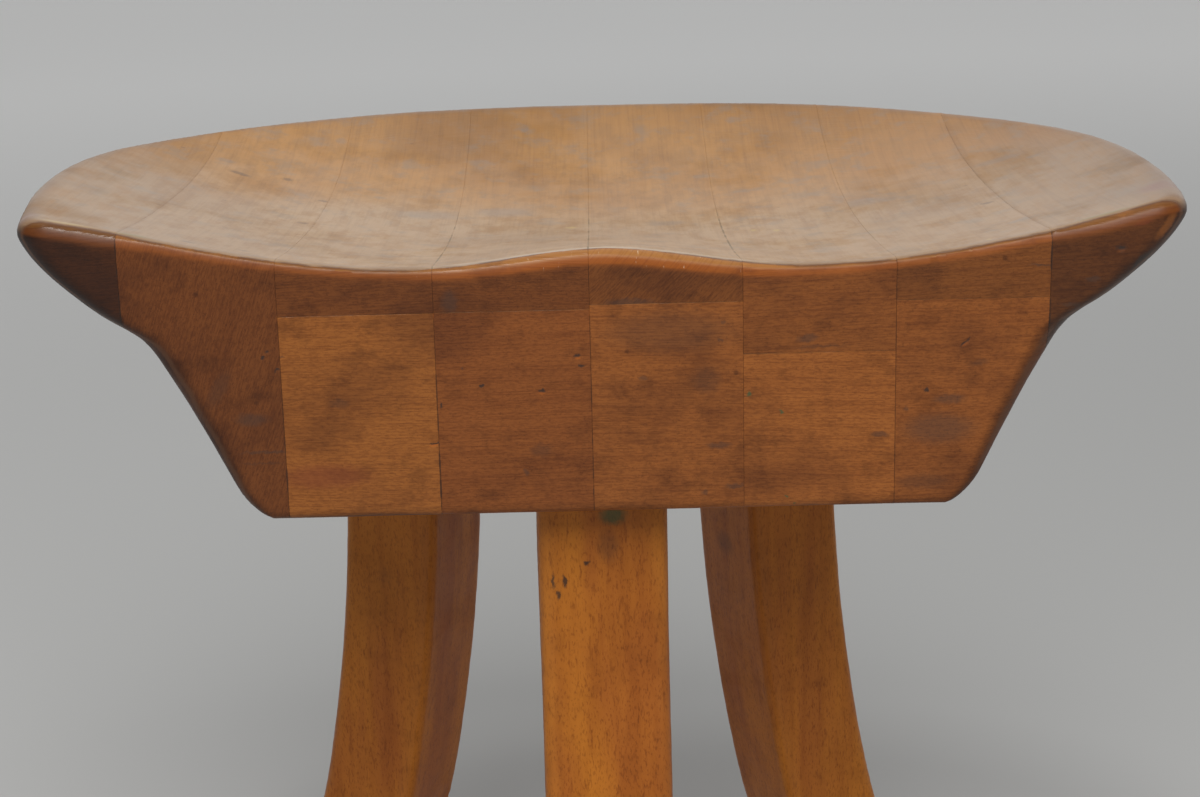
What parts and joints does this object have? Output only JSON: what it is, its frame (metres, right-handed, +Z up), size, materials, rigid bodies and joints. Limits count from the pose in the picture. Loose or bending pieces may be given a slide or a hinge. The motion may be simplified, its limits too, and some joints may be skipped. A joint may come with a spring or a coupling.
{
  "type": "tripod stool",
  "caption": "Low wooden stool: a deep seat glued up from staves and carved to a saddle hollow with coved flanks, on splayed sabre legs held by dowels.",
  "frame": {"origin": "on the floor, under the middle of the stool's bounding box", "axes": "+Z up; -Y is the flat front of the seat; +X is to the right of someone looking at the front, along the seat's width"},
  "size_m": [0.477, 0.3856, 0.4557],
  "materials": {
    "seat_wood": "worn satin oil and shellac over red-brown hardwood",
    "leg_wood": "satin oil over honey-brown hardwood",
    "dowel_wood": "bare"
  },
  "bodies": {
    "root": {"left_wing_tip": "seat_wood", "left_stave_3": "seat_wood", "left_stave_2_upper": "seat_wood", "left_stave_2_lower": "seat_wood", "left_stave_1_upper": "seat_wood", "left_stave_1_lower": "seat_wood", "right_stave_1_upper": "seat_wood", "right_stave_1_lower": "seat_wood", "right_stave_2_upper": "seat_wood", "right_stave_2_lower": "seat_wood", "right_stave_3_upper": "seat_wood", "right_stave_3_lower": "seat_wood", "right_wing_tip": "seat_wood", "front_leg": "leg_wood", "left_leg": "leg_wood", "right_leg": "leg_wood", "front_leg_dowel_1": "dowel_wood", "front_leg_dowel_2": "dowel_wood", "left_leg_dowel_1": "dowel_wood", "left_leg_dowel_2": "dowel_wood", "right_leg_dowel_1": "dowel_wood", "right_leg_dowel_2": "dowel_wood"}
  },
  "joints": []
}
